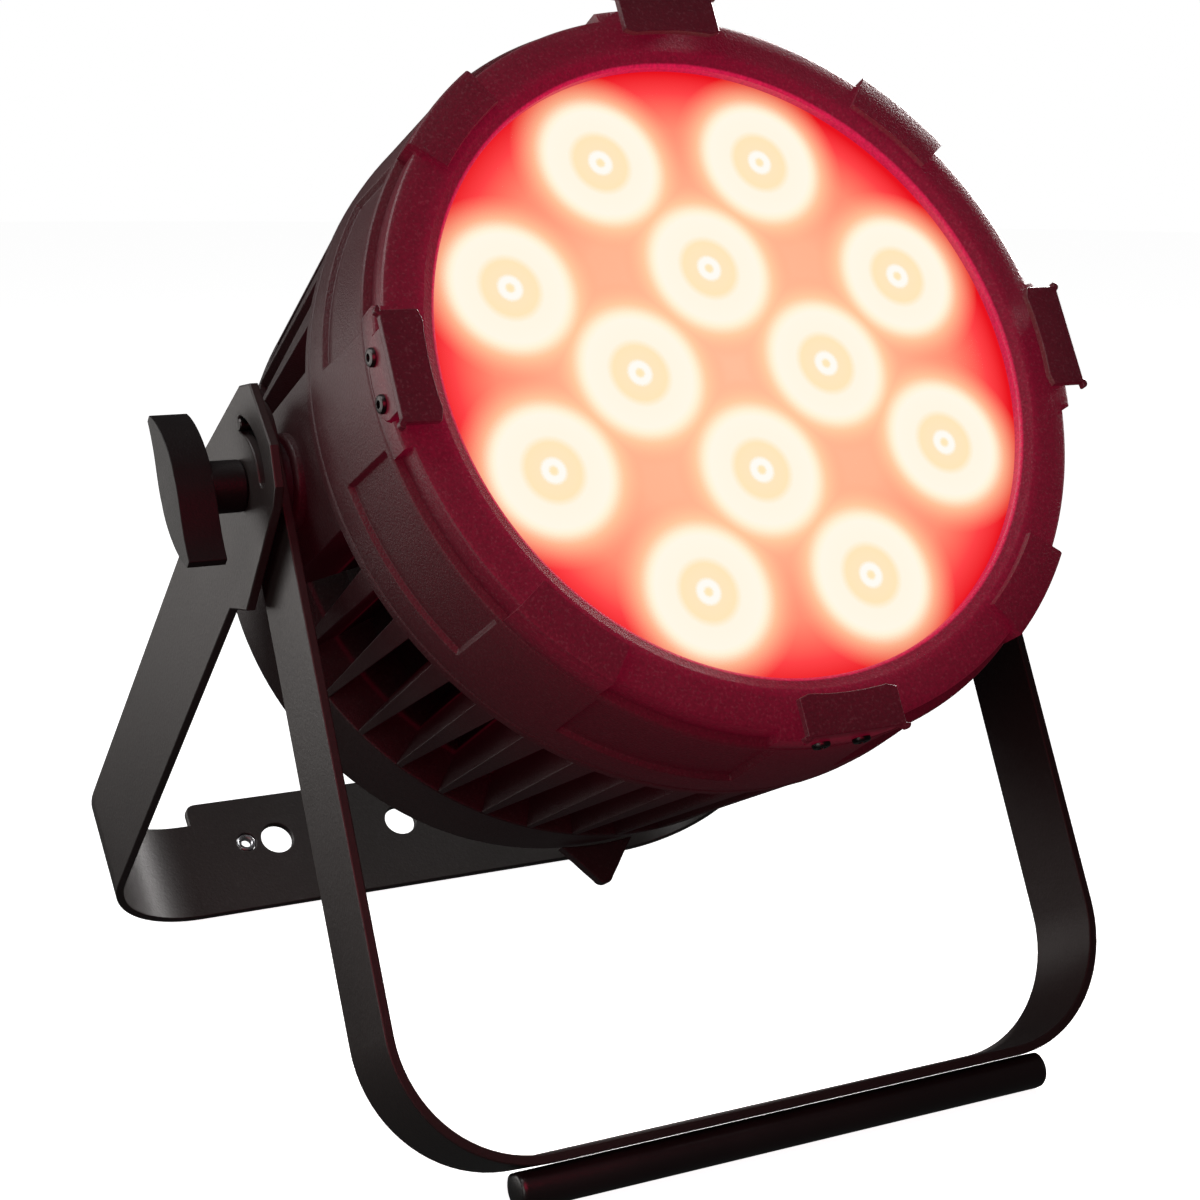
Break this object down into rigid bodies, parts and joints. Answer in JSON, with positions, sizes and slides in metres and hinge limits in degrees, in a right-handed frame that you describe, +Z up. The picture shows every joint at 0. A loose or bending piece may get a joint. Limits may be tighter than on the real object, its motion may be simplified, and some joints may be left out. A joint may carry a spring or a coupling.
{
  "type": "par can stage light",
  "caption": "Round LED par can light with a ribbed body and a lit frosted front, held in a folding double bracket with wing knobs.",
  "frame": {"origin": "centre of the bounding box in X and Y, on the floor plane that the front foot bar and the rear bracket rest on", "axes": "+Z up, the lamp faces -Y and tilts up, +X along the pivot axis towards the lamp's own left hand"},
  "size_m": [0.3144, 0.3398, 0.3455],
  "materials": {
    "head_casting": "dark textured powder coat over die-cast aluminium",
    "bracket_paint": "satin black-brown paint over steel strip",
    "foot_rubber": "smooth black rubber",
    "knob_plastic": "satin black moulded plastic",
    "fastener_steel": "plain zinc-plated steel",
    "front_glass": "frosted tempered glass, lit red from behind",
    "lens_optic": "clear moulded lens, lit from behind",
    "inner_black": "matt black moulding",
    "led_board": "white solder mask",
    "driver_board": "green solder mask",
    "supply_case": "plain folded sheet",
    "seal_rubber": "black silicone",
    "panel_face": "dark satin film over plastic",
    "display_glass": "glossy dark window",
    "button_rubber": "matt black rubber",
    "connector_body": "black moulded sockets"
  },
  "bodies": {
    "front_bracket": {"front_bracket": "bracket_paint", "foot_bar": "foot_rubber", "stop_pin_left": "fastener_steel", "stop_pin_right": "fastener_steel", "friction_washer_left": "seal_rubber", "friction_washer_right": "seal_rubber", "spacer_washer_left": "seal_rubber", "spacer_washer_right": "seal_rubber"},
    "rear_bracket": {"rear_bracket": "bracket_paint", "thread_insert": "fastener_steel"},
    "head": {"bezel_ring": "head_casting", "front_housing": "head_casting", "heat_sink": "head_casting", "rear_cap": "head_casting", "rear_lug": "head_casting", "accessory_holder_right": "head_casting", "accessory_holder_top": "head_casting", "accessory_holder_left": "head_casting", "accessory_holder_bottom": "head_casting", "holder_screw_right_a": "fastener_steel", "holder_screw_right_b": "fastener_steel", "holder_screw_top_a": "fastener_steel", "holder_screw_top_b": "fastener_steel", "holder_screw_left_a": "fastener_steel", "holder_screw_left_b": "fastener_steel", "holder_screw_bottom_a": "fastener_steel", "holder_screw_bottom_b": "fastener_steel", "front_glass": "front_glass", "glass_gasket": "seal_rubber", "lens_plate": "inner_black", "led_board": "led_board", "led_lens_01": "lens_optic", "led_lens_02": "lens_optic", "led_lens_03": "lens_optic", "led_lens_04": "lens_optic", "led_lens_05": "lens_optic", "led_lens_06": "lens_optic", "led_lens_07": "lens_optic", "led_lens_08": "lens_optic", "led_lens_09": "lens_optic", "led_lens_10": "lens_optic", "led_lens_11": "lens_optic", "led_lens_12": "lens_optic", "control_panel": "panel_face", "display_window": "display_glass", "power_in_connector": "connector_body", "data_in_connector": "connector_body", "data_out_connector": "connector_body", "power_out_connector": "connector_body", "breather_valve": "connector_body", "power_supply": "supply_case", "driver_board": "driver_board"},
    "knob_left": {"wing_knob_left": "knob_plastic", "knob_stud_left": "fastener_steel"},
    "knob_right": {"wing_knob_right": "knob_plastic", "knob_stud_right": "fastener_steel"},
    "button_1": {"menu_button_1": "button_rubber"},
    "button_2": {"menu_button_2": "button_rubber"},
    "button_3": {"menu_button_3": "button_rubber"},
    "button_4": {"menu_button_4": "button_rubber"}
  },
  "joints": [
    {"name": "head_tilt", "type": "hinge", "parent": "front_bracket", "child": "head", "pos_m": [0, -0.03491, 0.1984], "axis": [1, 0, 0], "range_deg": [-180, 180]},
    {"name": "rear_bracket_fold", "type": "hinge", "parent": "front_bracket", "child": "rear_bracket", "pos_m": [0, -0.03491, 0.1984], "axis": [1, 0, 0], "range_deg": [-72, 0]},
    {"name": "knob_left_turn", "type": "hinge", "parent": "head", "child": "knob_left", "pos_m": [0, -0.03491, 0.1984], "axis": [-1, 0, 0], "range_deg": [0, 360]},
    {"name": "knob_right_turn", "type": "hinge", "parent": "head", "child": "knob_right", "pos_m": [0, -0.03491, 0.1984], "axis": [1, 0, 0], "range_deg": [0, 360]},
    {"name": "menu_button_1_press", "type": "slide", "parent": "head", "child": "button_1", "axis": [0, -0.8729, 0.4879], "range_m": [0, 0.0012], "stiffness_N_per_m": 1000},
    {"name": "menu_button_2_press", "type": "slide", "parent": "head", "child": "button_2", "axis": [0, -0.8729, 0.4879], "range_m": [0, 0.0012], "stiffness_N_per_m": 1000},
    {"name": "menu_button_3_press", "type": "slide", "parent": "head", "child": "button_3", "axis": [0, -0.8729, 0.4879], "range_m": [0, 0.0012], "stiffness_N_per_m": 1000},
    {"name": "menu_button_4_press", "type": "slide", "parent": "head", "child": "button_4", "axis": [0, -0.8729, 0.4879], "range_m": [0, 0.0012], "stiffness_N_per_m": 1000}
  ]
}
